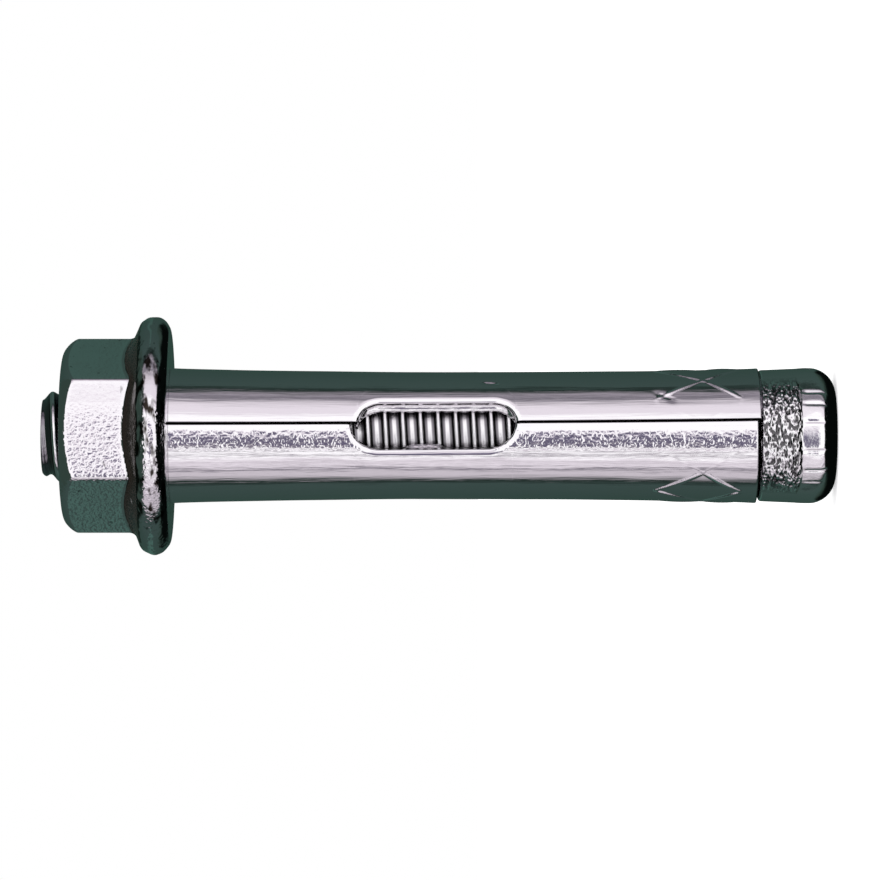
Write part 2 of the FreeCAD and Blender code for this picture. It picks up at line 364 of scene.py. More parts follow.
def make_stud(material):
    """The stud, as a fine grid round the head and a coarser one round the shank, joined by a ring of faces.

    The lowest and the highest ring of points are closed by fans of triangles.
    """
    head = stud_head()
    shank, groove, threaded = stud_shank()
    first, end = head[..., 0].size, head[..., 0].size + shank[..., 0].size
    points = np.concatenate([head.reshape(-1, 3), shank.reshape(-1, 3), [[0, 0, 0], [0, 0, STUD_TOP]]])
    faces = grid_faces(head.shape[0], HEAD_COLUMNS)
    faces += grid_faces(shank.shape[0], SHANK_COLUMNS, first)
    faces += joining_faces(first - HEAD_COLUMNS, HEAD_COLUMNS, first, SHANK_COLUMNS)
    faces += fan_faces(np.arange(HEAD_COLUMNS), end, True)
    faces += fan_faces(np.arange(end - SHANK_COLUMNS, end), end + 1, False)
    stud = piece_from("stud_forged", points, faces, material, "stud", "anchor_stud")
    for name, share in (("groove", groove), ("threaded", threaded)):
        values = np.zeros(len(points))
        values[first:first + share.size] = share.reshape(-1)
        mark(stud, name, values)
    return stud


def stud_head():
    """Points of the head, cone and neck.

    The head's radius is the smaller of the turned profile and its flats, less the creases and a slight
    unevenness. Over the flats the skin is rough on the two sides that the die struck, in front and behind.
    """
    radii, heights = stud_head_profile()
    angle = np.arange(HEAD_COLUMNS)[None, :] * 360 / HEAD_COLUMNS
    radius, height = np.broadcast_arrays(radii[:, None], heights[:, None])
    flat_at, crease = facet_radius(angle)
    pressed = FACET_DEPTH * (1 - smooth_step(*FACET_DEPTH_FADE, from_front(angle)))
    flat = HEAD_RADIUS + (flat_at - HEAD_RADIUS) * FACET_FLATNESS - pressed
    over_round = smooth_step(*FACET_LOW_FADE, height)
    crease = crease * over_round * (1 - smooth_step(*CREASE_FADE, from_front(angle)))
    faceted = soft_min(*np.broadcast_arrays(radius, flat), FACET_ROUNDING) - crease
    faceted = faceted - FACET_UNEVENNESS * (1 + grain(angle, height, *FACET_GRAIN)) * over_round
    scallop = FACET_SCALLOP * (flat_at - HEAD_RADIUS + 0.03)
    rough = smooth_step(*FACET_TOP_FADE, height - FACET_TOP + scallop)
    skin = layered_grain(angle, height, SKIN_LAYERS)
    skin = skin * smooth_step(*SKIN_FADE, np.abs(np.cos(np.radians(angle))))
    formed = faceted + (radius + SKIN_DEPTH * (skin - 1) - faceted) * rough
    return around(np.where((height > 0) & (height < HEAD_HEIGHT), formed, radius), angle, height)


def stud_shank():
    """Points of the neck's upper part and the thread, and two values for each row of the thread: how deep it
    is in the groove, which the material turns into painted shade and a painted highlight, and whether it is
    on the full thread.

    The worn end has low ridges, a cosine of the distance from the crest, and a slope cuts off its edge. In
    its valleys and at the tip the groove value is set so that the material paints shade there.
    """
    angle = np.arange(SHANK_COLUMNS)[None, :] * 360 / SHANK_COLUMNS
    rows = thread_rows()[:, None]
    radius = thread_radius(crest_distance(angle, rows))
    full = smooth_step(*THREAD_FADE, rows)
    groove = np.clip((CREST_RADIUS - radius) / THREAD_DEPTH, 0, 1) * full
    radius = NECK_RADIUS + full * (radius - NECK_RADIUS)
    wave = 0.5 - 0.5 * np.cos(2 * math.pi * crest_distance(angle, rows + END_SHIFT) / PITCH)
    at_end = smooth_step(*END_FADE, rows)
    low_ridges = END_RADIUS + END_TAPER * (STUD_TOP - rows) - END_RIDGES * wave
    radius = radius + (low_ridges - radius) * at_end
    # Painted shade: the worn end's valleys and the tip take set shares of the groove's colours
    groove = groove + (END_VALLEY_SHADE * smooth_step(*END_VALLEY_SHADE_FADE, wave) - groove) * at_end
    groove = np.maximum(groove, TIP_SHADE * smooth_step(*TIP_FADE, rows))
    radius = soft_min(radius, TIP_RADIUS + TIP_SLOPE * (STUD_TOP - rows), TIP_ROUNDING)
    threaded = (full - at_end) * np.ones_like(radius)
    last = radius[-1] - 0.05
    radius = np.concatenate([radius, [last, last * 0.6, last * 0.3]])
    height = np.concatenate([rows, [[STUD_TOP]] * 3])
    return around(radius, angle, height), groove, threaded


def joining_faces(fine, fine_count, coarse, coarse_count):
    """Faces between a ring of many points below and a ring of few above."""
    ratio = fine_count // coarse_count
    step = np.arange(coarse_count)[:, None]
    below = fine + (step * ratio + np.arange(ratio + 1)[None, :]) % fine_count
    above = coarse + (step + np.array([[1, 0]])) % coarse_count
    return np.concatenate([below, above], axis=1).tolist()


# Sleeve

def window_distance(across, height):
    """Distance in mm from the window's outline, across from the seam. It is below zero in the window.

    The outline is a slot with round ends, wider and longer on one side of the seam than on the other.
    """
    depth = np.where(across > 0, WINDOW_ABOVE, WINDOW_BELOW)
    length = np.where(across > 0, LENGTH_ABOVE, LENGTH_BELOW)
    beyond = np.maximum(np.abs(height - WINDOW_MIDDLE) - (length / 2 - depth), 0)
    return np.hypot(beyond, across) - depth


def notch(height, depth, length):
    """How far the window reaches into one edge of the seam at each height: a half slot with round ends."""
    beyond = np.maximum(np.abs(height - WINDOW_MIDDLE) - (length / 2 - depth), 0)
    return np.sqrt(np.maximum(depth ** 2 - beyond ** 2, 0))


def sleeve_rows():
    """Heights of the rows, close together in the lattice and where a half of the window begins or ends."""
    low, high = WINDOW_MIDDLE - LENGTH_BELOW / 2, WINDOW_MIDDLE + LENGTH_BELOW / 2
    fine, wide = 0.1, 0.5
    near = np.array([0.95, 0.7, 0.5, 0.36, 0.26, 0.18, 0.12, 0.08, 0.045, 0.02, 0.006])
    less = (LENGTH_BELOW - LENGTH_ABOVE) / 2
    second = less + WINDOW_ABOVE * (1 - np.cos(np.radians(np.linspace(0, 60, 11))))
    bend = WINDOW_BELOW * (1 - np.cos(np.radians(np.linspace(0, 90, 16)[1:])))
    bend = np.sort(np.concatenate([bend[(bend < less - 0.02) | (bend > second[-1] + 0.04)], second]))
    lip = np.array([0, 0.012, 0.035, 0.07])
    mouth = SLEEVE_LOW - END_REACH
    return np.concatenate([
        mouth + lip,
        np.arange(mouth + 0.15, RIB_HIGH + 0.35, fine),
        np.arange(RIB_HIGH + 0.6, low - 1.1, wide),
        low - near,
        low + bend,
        np.linspace(low + WINDOW_BELOW, high - WINDOW_BELOW, 34)[1:-1],
        (high - bend)[::-1],
        (high + near)[::-1],
        np.arange(high + 1.3, SLEEVE_HIGH - 0.3, wide),
        SLEEVE_HIGH + TOP_REACH - lip[::-1],
    ])


def waist(height):
    """How much the sleeve is drawn in at each height, deepest near the window."""
    above = np.clip((height - WAIST_HEIGHT) / (SLEEVE_HIGH - WAIST_HEIGHT), 0, 1)
    below = np.clip((WAIST_HEIGHT - height) / (WAIST_HEIGHT - SLEEVE_LOW), 0, 1)
    (outer, inner), (low_outer, low_inner) = WAIST_ABOVE, WAIST_BELOW
    return WAIST_DEPTH * (1 - above ** inner) ** outer * (1 - below ** low_inner) ** low_outer


def rib_rise(angle, height):
    """Height of the ribs. Helices both ways cross every 45 degrees, so the distance is taken to a zigzag.

    In front, on both sides of the seam, they are pressed nearly flat. Further round they are higher and
    wider for a while.
    """
    local = np.abs(np.mod(angle - RIB_CROSSING_ANGLE + RIB_PERIOD / 2, RIB_PERIOD) - RIB_PERIOD / 2)
    reach = np.where(height > RIB_CROSSING, RIB_HIGH - RIB_CROSSING, RIB_CROSSING - RIB_LOW)
    share = np.abs(height - RIB_CROSSING) / reach
    run = RIB_PERIOD / 2 * PER_DEGREE
    distance = np.abs(local * PER_DEGREE - share * run) * reach / np.hypot(reach, run)
    turned = from_front(angle)
    size = RIB_FRONT + (1 - RIB_FRONT) * smooth_step(*RIB_FRONT_FADE, turned)
    size = size + RIB_SIDE * smooth_step(*RIB_SIDE_FROM, turned) * (1 - smooth_step(*RIB_SIDE_TO, turned))
    bump = np.clip(1 - (distance / (RIB_HALF_WIDTH * np.maximum(size, 1))) ** 2, 0, 1) ** 1.5
    return RIB_HEIGHT * size * bump * (1 - smooth_step(0.97, 1.03, share))


def nicks(angle, height):
    """Depth of a few small nicks in the skin, each a long and narrow bell shape turned from the axis."""
    total = 0
    for at_angle, at_height, length, width, lean, depth in NICKS:
        across = (np.mod(angle - at_angle + 180, 360) - 180) * PER_DEGREE
        along = height - at_height
        cos, sin = math.cos(math.radians(lean)), math.sin(math.radians(lean))
        u, v = (along * cos + across * sin) / length, (across * cos - along * sin) / width
        total = total + depth * np.exp(-u * u - v * v)
    return total


def make_sleeve(material):
    """The rolled sleeve as one closed skin: rows along the axis, and columns round the section of the wall.

    A row starts at the seam's upper edge, runs round the outside to the lower edge, crosses the wall and
    comes back inside. The seam's edges carry the two halves of the window, where their walls are torn and
    the lower one has a burr. From the top down to the window the edges slip past each other along the axis.
    """
    rows = sleeve_rows()[:, None]
    above = np.maximum(notch(rows, WINDOW_ABOVE, LENGTH_ABOVE), SEAM_GAP / 2)
    below = np.maximum(notch(rows, WINDOW_BELOW, LENGTH_BELOW), SEAM_GAP / 2)
    seam = SEAM_ANGLE + SEAM_LEAN * (WINDOW_MIDDLE - rows)
    start = seam + above / PER_DEGREE
    end = seam + 360 - below / PER_DEGREE
    opened = smooth_step(*OPENING_FADE, below)

    outer = outer_angles(start, end)
    share = (outer - start) / (end - start)
    drift = smooth_step(0, 1, (SLEEVE_HIGH - rows) / (SLEEVE_HIGH - WINDOW_MIDDLE)) * SEAM_MISMATCH
    drift = drift * (1 - MISMATCH_LOST * smooth_step(WINDOW_MIDDLE, SLEEVE_LOW, rows))
    height = rows + (share - UPPER_EDGE_SHARE) * drift
    outside = outer_radius(outer, rows, height, seam)

    mouth = MOUTH_RADIUS - (rows - SLEEVE_LOW) * math.tan(math.radians(CONE_ANGLE))
    bore = np.maximum(np.maximum(SLEEVE_RADIUS - waist(rows) - WALL, THREAD_ROOM), mouth)
    back = np.linspace(1, 0, INNER_COLUMNS)[None, :]
    shut = SHUT * (1 - opened) / PER_DEGREE
    inner = start - shut + (end - start + 2 * shut) * back
    inner_height = rows + (back - UPPER_EDGE_SHARE) * drift
    inside = np.broadcast_to(bore, inner.shape)

    depths = np.array(WALL_DEPTHS)[None, :]
    burr = BURR * smooth_step(*BURR_FROM, rows) * (1 - smooth_step(*BURR_TO, rows))
    tear = TEAR * grain(rows * 40, rows + depths * 3, *TEAR_GRAIN)
    low_edge, high_edge = outside[:, -1:], outside[:, :1]
    wall_low = low_edge + (bore - low_edge) * depths
    closing = SHUT * smooth_step(*SHUT_FADE, depths) * (1 - opened)
    wall_low_angle = end + ((tear + burr * smooth_step(*BURR_FADE, depths)) * opened + closing) / PER_DEGREE
    wall_high = bore + (high_edge - bore) * depths
    closing = SHUT * smooth_step(*SHUT_FADE, 1 - depths) * (1 - opened)
    draft = WALL_DRAFT * (1 - smooth_step(*DRAFT_FADE, depths))
    wall_high_angle = start + ((tear - draft) * opened - closing) / PER_DEGREE

    points = np.concatenate([
        around(outside, outer, height),
        around(wall_low, wall_low_angle, rows + (1 - UPPER_EDGE_SHARE) * drift),
        around(inside, inner, inner_height),
        around(wall_high, wall_high_angle, rows - UPPER_EDGE_SHARE * drift),
    ], axis=1)
    count, columns = points.shape[:2]
    faces = grid_faces(count, columns)
    skin_count = len(faces)
    first_wall, walls = outer.shape[1], depths.shape[1]
    for row, upward in ((0, False), (count - 1, True)):
        faces += end_faces(row * columns, first_wall, walls, INNER_COLUMNS, columns, upward)
    sleeve = piece_from("sleeve_rolled", points, faces, material, "sleeve", "expansion_sleeve")
    sleeve.data.polygons.foreach_set("use_smooth", np.arange(len(faces)) < skin_count)
    # The cut walls are rougher and carry painted shade, less of both on the burr and on the window's upper
    # wall
    cut_shade_and_roughness = np.zeros((count, columns))
    cut_shade_and_roughness[:, first_wall:first_wall + walls] = 1 - BURR_SHINE * burr
    cut_shade_and_roughness[:, -walls:] = 1 - UPPER_WALL_SHINE * opened
    mark(sleeve, "cut_shade_and_roughness", cut_shade_and_roughness)
    return sleeve


def outer_angles(start, end):
    """Angles of the outside's columns: close together near both edges of the seam, and closer in front than
    behind."""
    near = [0, 0.025, 0.05, 0.08, 0.12, 0.17, 0.23, 0.3, 0.38, 0.48, 0.6, 0.75, 0.95, 1.2]
    near = np.array(near)[None, :] / PER_DEGREE
    middle = np.concatenate([np.linspace(*run)[1:] for run in SLEEVE_COLUMNS])[None, :-1]
    inner_start, inner_end = start + near[:, -1:], end - near[:, -1:]
    between = inner_start + (inner_end - inner_start) * middle
    return np.concatenate([start + near, between, end - near[:, ::-1]], axis=1)


def outer_radius(angle, rows, height, seam):
    """Radius of the outside: a tube less its waist, the lip of the window, the rounding of all edges and
    the nicks, plus the ribs and a slight unevenness. Height is that of the rows after the edges have
    slipped."""
    across = (np.mod(angle - seam + 180, 360) - 180) * PER_DEGREE
    from_window = np.maximum(window_distance(across, rows), 0)
    from_seam = np.maximum(np.abs(across) - SEAM_GAP / 2, 0)
    roll = LIP_SLOPE * soft_max(LIP_WIDTH - from_window, 0, 0.04)
    from_edge = np.minimum(np.minimum(from_window, from_seam + 0.05), rows - rows[0])
    missing = np.maximum(EDGE_ROUND - from_edge, 0)
    rounding = EDGE_ROUND - np.sqrt(np.maximum(EDGE_ROUND ** 2 - missing ** 2, 0))
    uneven = layered_grain(angle, rows, SWELLS) - nicks(angle, height)
    skin = rib_rise(angle, height) + uneven * smooth_step(0, 1, from_edge)
    return SLEEVE_RADIUS - waist(rows) - roll - rounding + skin


def end_faces(first, outer_count, wall_count, inner_count, columns, upward):
    """Faces of one ring-shaped end of the sleeve: the outer points are shared out among the inner ones."""
    outer_ends = np.round(np.linspace(0, outer_count - 1, inner_count)).astype(int)
    inner = first + outer_count + wall_count + inner_count - 1 - np.arange(inner_count)
    faces = []
    for k in range(inner_count - 1):
        low, high = outer_ends[k], outer_ends[k + 1]
        faces.append([*range(first + low, first + high + 1), inner[k + 1], inner[k]])
    last_outer = first + outer_count - 1
    faces.append([*range(last_outer, last_outer + wall_count + 2)])
    faces.append([*range(first + columns - wall_count - 1, first + columns), first])
    return faces if upward else [face[::-1] for face in faces]


# Nut

def hexagon_radius(angle):
    """Distance from the axis to a hexagon with rounded corners, with one flat towards NUT_ANGLE."""
    apothem = ACROSS_FLATS / 2
    from_flat = np.abs(np.mod(angle - NUT_ANGLE + 30, 60) - 30)
    side = np.tan(np.radians(from_flat)) / math.tan(math.radians(30))
    flat = apothem / np.cos(np.radians(from_flat)) - FACE_BULGE * side * side
    to_corner = np.radians(30 - from_flat)
    centre = (apothem - FACE_BULGE - CORNER_ROUND) / math.cos(math.radians(30))
    chord = np.maximum(CORNER_ROUND ** 2 - (centre * np.sin(to_corner)) ** 2, 0)
    corner = centre * np.cos(to_corner) + np.sqrt(chord)
    arc_end = math.atan2(CORNER_ROUND * 0.5, centre + CORNER_ROUND * math.cos(math.radians(30)))
    return np.where(to_corner < arc_end, corner, flat)


def nut_angles():
    """Angles of the columns: even along the flats and close together at the six corners."""
    near = np.geomspace(4.0, 0.35, 10)
    near = np.concatenate([-near, [0], near[::-1]])
    flat = np.linspace(-26, 26, 33)[1:-1]
    period = np.concatenate([flat, 30 + near])
    return np.concatenate([NUT_ANGLE + 60 * k + period for k in range(6)])


def flange_outline(angle, side):
    """Radii and heights of the round rim, which is slightly dented, of the cone and of the fillet.

    The fillet is a quadratic curve from the cone to the hexagon's side.
    """
    rim = RIM_THICKNESS / 2
    rim_centre = FLANGE_RADIUS - rim
    slope = FLANGE_RISE / (rim_centre - ACROSS_FLATS / 2)

    def cone_height(radius):
        return SEAT + RIM_THICKNESS + (rim_centre - radius) * slope

    bend = np.radians(np.linspace(-90, RIM_END_ANGLE, 30))[:, None]
    dent = DENT_DEPTH * (1 + grain(angle, rim * bend, *DENT_GRAIN)) * smooth_step(*DENT_FADE, bend)
    rim_r = rim_centre + (rim - dent) * np.cos(bend)
    rim_z = SEAT + rim + (rim - dent) * np.sin(bend)
    t = np.linspace(0, 1, 10)[:, None]
    out_r, out_z, corner_z = side + FILLET, cone_height(side + FILLET), cone_height(side)
    span = np.linspace(0, 1, 8)[1:-1, None]
    cone_r = rim_r[-1:] + (out_r - rim_r[-1:]) * span
    cone_z = rim_z[-1:] + (out_z - rim_z[-1:]) * span
    fillet_r = (1 - t) ** 2 * out_r + 2 * t * (1 - t) * side + t ** 2 * side
    fillet_z = (1 - t) ** 2 * out_z + 2 * t * (1 - t) * corner_z + t ** 2 * (corner_z + FILLET)
    return [(rim_r, rim_z), (cone_r, cone_z), (fillet_r, fillet_z)]


def hexagon_outline(side, low, high):
    """Radii and heights of the hexagon's sides and its turned crown, a quarter round that meets the sides
    in soft edges."""
    crown_flat = ACROSS_FLATS / math.sqrt(3) - CROWN_RADIUS
    crown_base = high - CROWN_RADIUS
    side_z = low + (crown_base - low) * np.linspace(0, 1, 16)[1:-1, None]
    arc = np.radians(np.linspace(0, 90, 26))[:, None]
    crown_z = np.broadcast_to(crown_base + CROWN_RADIUS * np.sin(arc), (len(arc), side.shape[1]))
    crown_r = np.broadcast_to(crown_flat + CROWN_RADIUS * np.cos(arc), crown_z.shape)
    softness = 0.01 + 0.75 * smooth_step(math.radians(12), math.radians(60), arc)
    crown_r = soft_min(crown_r, np.broadcast_to(side, crown_z.shape), softness)
    return [(np.broadcast_to(side, side_z.shape), side_z), (crown_r, crown_z)]


def bore_outline(top):
    """Radii and heights from the top face down through the bore, countersunk at both ends, to the seat."""
    low, high = SEAT + COUNTERSINK, top - COUNTERSINK
    sunk = BORE_RADIUS + COUNTERSINK
    rings = [(sunk + SEAT_RING, top), (sunk + 0.06, top), (sunk, top - 0.03), (BORE_RADIUS, high)]
    rings += [(BORE_RADIUS, high + (low - high) * t) for t in np.linspace(0, 1, 80)[1:-1]]
    rings += [(BORE_RADIUS, low), (sunk, SEAT), (sunk + SEAT_RING, SEAT)]
    return rings + [(FLANGE_RADIUS - RIM_THICKNESS / 2 - 1.0, SEAT)]


def make_nut(material):
    """The flange nut: a closed profile carried round the axis, whose side follows a rounded hexagon.

    The profile runs from the seat out to the rim, over the conical flange, up the side, over the crown, and
    down through the bore. Each point knows how much of its skin is darker brown-grey.
    """
    top = NUT_TOP - NUT_HEIGHT_LESS
    angle = nut_angles()[None, :]
    width = angle.shape[1]
    side = hexagon_radius(angle)
    flange = flange_outline(angle, side)
    parts = flange + hexagon_outline(side, flange[-1][1][-1:], top)
    parts += [tuple(np.full((1, width), value) for value in place) for place in bore_outline(top)]
    radius = np.concatenate([np.broadcast_to(r, (len(r), width)) for r, _ in parts])
    height = np.concatenate([np.broadcast_to(z, (len(z), width)) for _, z in parts])
    points = around(radius, angle, height)
    count = len(points)
    faces = (np.array(grid_faces(count + 1, width)) % (count * width)).tolist()
    nut = piece_from("nut_formed", points, faces, material, "nut", "flange_nut")
    rim_rows, cone_rows, fillet_rows = (len(r) for r, _ in flange)
    covered, beginning = rim_rows + cone_rows + fillet_rows - 4, np.linspace(0.4, 1, 4)[:, None]
    scale = np.zeros((count, width))
    scale[:rim_rows] = DARK_ON_RIM * smooth_step(*RIM_DARK_FADE, np.abs(np.cos(np.radians(angle))))
    scale[rim_rows - len(beginning):rim_rows] = beginning
    scale[rim_rows:covered] = 1
    mark(nut, "scale", scale)
    return nut


# Materials

# Depths of relief in mm
DRAWN_LINES, CRYSTALS = 0.018, 0.045
FORGED_GRAIN, PITS = 0.2, 0.005
DIMPLES = 0.034

# The crystalline strip beside the seam: its angle, and half its width at the edge and where it is full
STRIP_ANGLE, STRIP_EDGE, STRIP_FULL = -3, 11.5, 7

# Colours down the thread's groove, by share of its depth: pale crest, painted shade down the flanks easing
# to grey by the root, and a painted highlight as a pale line in the root
GROOVE_SHADE_AND_HIGHLIGHT = [
    (0.14, "#F4F2F5"), (0.24, "#161617"), (0.85, "#161617"), (0.885, "#605D61"),
    (0.975, "#949097"), (0.992, "#FCFAFC"),
]

# Sockets of the node that mixes two colours
MIX_SHARE, MIX_FROM, MIX_TO, MIX_RESULT = 0, 6, 7, 2


def add_node(tree, kind, settings=None, links=None):
    """One node with its settings, and its inputs linked from other nodes' outputs."""
    node = tree.nodes.new(kind)
    for name, value in (settings or {}).items():
        if isinstance(name, int) or name in node.inputs:
            node.inputs[name].default_value = value
        else:
            setattr(node, name, value)
    for name, source in (links or {}).items():
        tree.links.new(source, node.inputs[name])
    return node


def noise(tree, place, scale, detail, roughness=0.5):
    """Grey levels of a cloudy noise, with cells of about 1 / scale."""
    settings = {"Scale": scale, "Detail": detail, "Roughness": roughness}
    return add_node(tree, "ShaderNodeTexNoise", settings, {"Vector": place}).outputs["Fac"]


def scaled(tree, place, *factors):
    """A place with each coordinate multiplied, which stretches a pattern where the factor is small."""
    return add_node(tree, "ShaderNodeMapping", {"Scale": factors}, {"Vector": place}).outputs["Vector"]


def coordinates(tree, place):
    """The three coordinates of a place."""
    return add_node(tree, "ShaderNodeSeparateXYZ", links={"Vector": place}).outputs


def ranged(tree, value, low, high, to_low=0, to_high=1, curve="LINEAR"):
    """A value carried from the range low to high to another range, and held at its ends."""
    ends = {"From Min": low, "From Max": high, "To Min": to_low, "To Max": to_high}
    settings = {"interpolation_type": curve, **ends}
    return add_node(tree, "ShaderNodeMapRange", settings, {"Value": value}).outputs["Result"]


def computed(tree, operation, *values, clamp=False):
    """The result of one step of arithmetic on sockets or numbers."""
    links = {index: value for index, value in enumerate(values) if hasattr(value, "links")}
    settings = {index: value for index, value in enumerate(values) if index not in links}
    settings.update(operation=operation, use_clamp=clamp)
    return add_node(tree, "ShaderNodeMath", settings, links).outputs["Value"]


def carried(tree, name):
    """A value that each point of the mesh carries under a name."""
    return add_node(tree, "ShaderNodeAttribute", {"attribute_name": name}).outputs["Fac"]


def zinc(name, colour, roughness, dull_roughness, patch_mm):
    """Bright zinc plate with slightly duller patches. Returns the material, its Object coordinates in mm
    and its shader."""
    material = bpy.data.materials.new(name)
    material.use_nodes = True
    tree = material.node_tree
    shader = tree.nodes["Principled BSDF"]
    shader.inputs["Base Color"].default_value = (*linear(colour), 1)
    shader.inputs["Metallic"].default_value = 1
    place = add_node(tree, "ShaderNodeTexCoord").outputs["Object"]
    mm = scaled(tree, place, 1 / MM, 1 / MM, 1 / MM)
    dull = ranged(tree, noise(tree, mm, 1 / patch_mm, 3, 0.65), 0.45, 0.65, roughness, dull_roughness)
    tree.links.new(dull, shader.inputs["Roughness"])
    return material, mm, shader


def rougher(tree, shader, name, amount):
    """Adds to the roughness where a value that the mesh carries says so."""
    roughness = shader.inputs["Roughness"]
    total = computed(tree, "MULTIPLY_ADD", carried(tree, name), amount, roughness.links[0].from_socket)
    tree.links.new(total, roughness)


def stained(tree, shader, share, colour):
    """Blends the base colour towards a stain by a share from 0 to 1."""
    base = shader.inputs["Base Color"]
    colours = {MIX_FROM: base.default_value, MIX_TO: (*linear(colour), 1)}
    mix = add_node(tree, "ShaderNodeMix", {"data_type": "RGBA", **colours}, {MIX_SHARE: share})
    if base.links:
        tree.links.new(base.links[0].from_socket, mix.inputs[MIX_FROM])
    tree.links.new(mix.outputs[MIX_RESULT], base)


def relief(tree, height, depth_mm, under=None):
    """A bump of a given depth from a 0 to 1 height, laid over another bump where one is given."""
    links = {"Height": height}
    if under:
        links["Normal"] = under
    settings = {"Strength": 1, "Distance": depth_mm * MM}
    return add_node(tree, "ShaderNodeBump", settings, links).outputs["Normal"]


def zinc_on_rolled_sheet():
    """Smooth skin with faint lines along the axis, and a strip beside the seam where the plate is
    crystalline and breaks a reflection into specks. The cut walls in the seam and under the window are
    rougher and carry painted shade, nearly black, less so on the burr and on the window's upper wall."""
    material, mm, shader = zinc("bright_zinc_on_rolled_sheet", "#EDEAEE", 0.06, 0.11, 0.7)
    tree = material.node_tree
    x, y, _ = coordinates(tree, mm)
    angle = computed(tree, "ARCTAN2", x, computed(tree, "MULTIPLY", y, -1))
    from_strip = computed(tree, "ABSOLUTE", computed(tree, "SUBTRACT", angle, math.radians(STRIP_ANGLE)))
    strip = ranged(tree, from_strip, math.radians(STRIP_EDGE), math.radians(STRIP_FULL), curve="SMOOTHSTEP")
    specks = computed(tree, "MULTIPLY", noise(tree, mm, 3.6, 1.5), strip)
    skin = relief(tree, noise(tree, scaled(tree, mm, 1, 1, 0.05), 2.2, 4, 0.62), DRAWN_LINES)
    tree.links.new(relief(tree, specks, CRYSTALS, skin), shader.inputs["Normal"])
    # Painted shade, nearly black, on the cut walls
    stained(tree, shader, ranged(tree, carried(tree, "cut_shade_and_roughness"), 0.35, 0.8), "#151315")
    rougher(tree, shader, "cut_shade_and_roughness", 0.3)
    return material


def zinc_on_rolled_thread():
    """Bright skin on the stud. The thread is a little rougher, down its flanks the colour is painted shade
    with a painted highlight line in the root, and the worn end and the tip are painted darker. The forged
    band round the head has a coarse grain that sparkles, with painted shade in the low places of the grain,
    in front and behind."""
    material, mm, shader = zinc("bright_zinc_on_rolled_thread", "#E9E6EA", 0.1, 0.17, 0.5)
    tree = material.node_tree
    # Base colour by the groove's share: painted shade down the flanks and a painted highlight in the root
    ramp = add_node(tree, "ShaderNodeValToRGB", links={"Fac": carried(tree, "groove")})
    elements = ramp.color_ramp.elements
    for index, (share, code) in enumerate(GROOVE_SHADE_AND_HIGHLIGHT):
        stop = elements[index] if index < 2 else elements.new(share)
        stop.position = share
        stop.color = (*linear(code), 1)
    tree.links.new(ramp.outputs["Color"], shader.inputs["Base Color"])
    _, y, z = coordinates(tree, mm)
    faceted = ranged(tree, z, FACET_TOP + 0.2, FACET_TOP - 0.1)
    over_head = ranged(tree, z, HEAD_HEIGHT - 0.1, HEAD_HEIGHT)
    struck = ranged(tree, computed(tree, "ABSOLUTE", y), STRUCK_FROM, STRUCK_FULL)
    smooth = computed(tree, "MAXIMUM", faceted, over_head)
    band = computed(tree, "MULTIPLY_ADD", smooth, -1, struck, clamp=True)
    coarse = noise(tree, scaled(tree, mm, 0.95, 0.95, 1.8), 3.1, 1)
    skin = relief(tree, noise(tree, mm, 7, 2), PITS)
    skin = relief(tree, computed(tree, "MULTIPLY", coarse, band), FORGED_GRAIN, skin)
    tree.links.new(skin, shader.inputs["Normal"])
    # Painted shade in the low places of the coarse grain on the struck band
    hollow_shade = ranged(tree, coarse, 0.55, 0.45, 0, 0.9)
    stained(tree, shader, computed(tree, "MULTIPLY", hollow_shade, band), "#2E2C30")
    rougher(tree, shader, "threaded", 0.24)
    return material


def zinc_on_formed_nut():
    """Cold-formed faces, slightly dimpled so that their reflections break into soft specks, and smoother on
    the side towards +X. The cone and the fillet under the hexagon are darker brown-grey and half metallic,
    and the rim has flecks of that colour in front and behind."""
    material, mm, shader = zinc("bright_zinc_on_cold_formed_nut", "#EBE7EC", 0.08, 0.16, 0.8)
    tree = material.node_tree
    worn = ranged(tree, coordinates(tree, mm)["X"], WORN_FROM, WORN_TO, WORN_SHARE)
    dents = computed(tree, "MULTIPLY", noise(tree, mm, 5, 1), worn)
    tree.links.new(relief(tree, dents, DIMPLES), shader.inputs["Normal"])
    scale = carried(tree, "scale")
    flecks = noise(tree, scaled(tree, mm, 0.45, 0.8, 1.15), 2.2, 2)
    cover = computed(tree, "MULTIPLY_ADD", flecks, 2, computed(tree, "SUBTRACT", scale, 1))
    stained(tree, shader, ranged(tree, cover, 0.34, 0.6), "#332D29")
    tree.links.new(ranged(tree, scale, 0.9, 1, 1, 0.5), shader.inputs["Metallic"])
    return material


# Studio

# The tones of the studio: its lit cloth, the shade between the lights, and the green flags.
WHITE, BRIGHT, PALE, MIDDLE, GREY = "#FFFFFF", "#E4DEE4", "#C4BEC4", "#98929A", "#76727A"
FRONT_SHADE, FRONT_DARK = "#8C8798", "#605B70"
FLAG_EDGE, FLAG_SIDE, FLAG_BACK = "#24312D", "#394A46", "#2B4039"

# What the metal reflects round the horizon, by angle from the camera's side: a broad soft light with one
# wide dark strip in front, and dark green flags at the sides and behind.
HORIZON = [
    (-180, FLAG_BACK), (-97, FLAG_SIDE), (-91, FLAG_EDGE), (-87, FLAG_EDGE), (-75, PALE), (-58, PALE),
    (-53, BRIGHT), (-43, BRIGHT), (-40, WHITE), (-27, WHITE), (-24, MIDDLE), (-12, FRONT_DARK),
    (-5, FRONT_DARK), (0, FRONT_SHADE), (8, BRIGHT), (14, WHITE), (34, WHITE), (40, BRIGHT), (52, BRIGHT),
    (60, PALE), (68, GREY), (72, GREY), (77, MIDDLE), (87, FLAG_EDGE), (92, FLAG_EDGE), (97, FLAG_SIDE),
    (180, FLAG_BACK),
]
